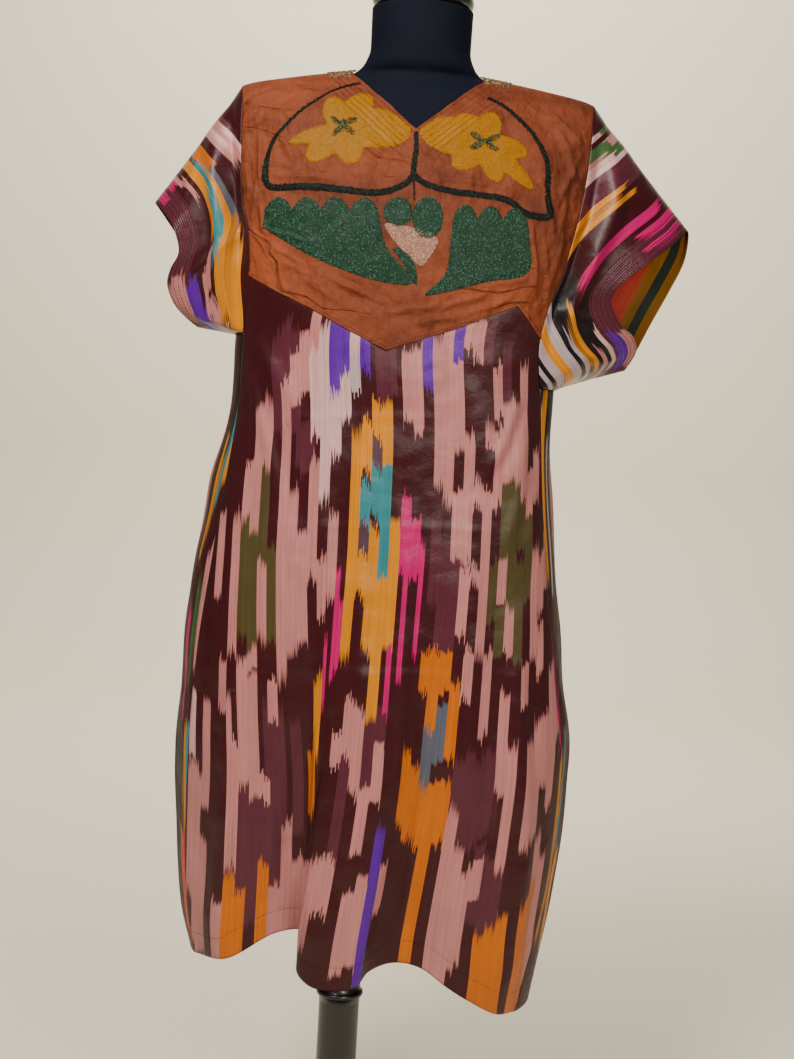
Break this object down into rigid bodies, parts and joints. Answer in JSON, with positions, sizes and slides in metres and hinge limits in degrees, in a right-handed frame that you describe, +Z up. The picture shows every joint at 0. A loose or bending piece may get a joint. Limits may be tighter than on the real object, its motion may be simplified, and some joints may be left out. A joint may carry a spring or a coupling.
{
  "type": "embroidered silk dress on a dress form",
  "caption": "Loose knee-length ikat silk dress with an embroidered yoke, V neck and short wide sleeves, worn on a limbless dress form on a post.",
  "frame": {"origin": "Centre of the stand base's flat underside, on the floor.", "axes": "+Z is up along the post. The front of the dress faces -Y. +X is towards the right of someone looking at the front."},
  "size_m": [0.6338, 0.34, 1.4963],
  "materials": {
    "ikat_satin": "satin",
    "rust_silk": "silk, soft sheen",
    "navy_jersey": "matt",
    "black_wood": "satin paint",
    "gloss_black_wood": "gloss"
  },
  "bodies": {
    "root": {"front": "ikat_satin", "back": "ikat_satin", "side_panel_left": "ikat_satin", "side_panel_right": "ikat_satin", "front_yoke": "rust_silk", "back_yoke": "rust_silk", "sleeve_left": "ikat_satin", "sleeve_right": "ikat_satin", "form_torso": "navy_jersey", "neck_cap": "gloss_black_wood", "stand_post": "black_wood", "stand_base": "black_wood"}
  },
  "joints": []
}
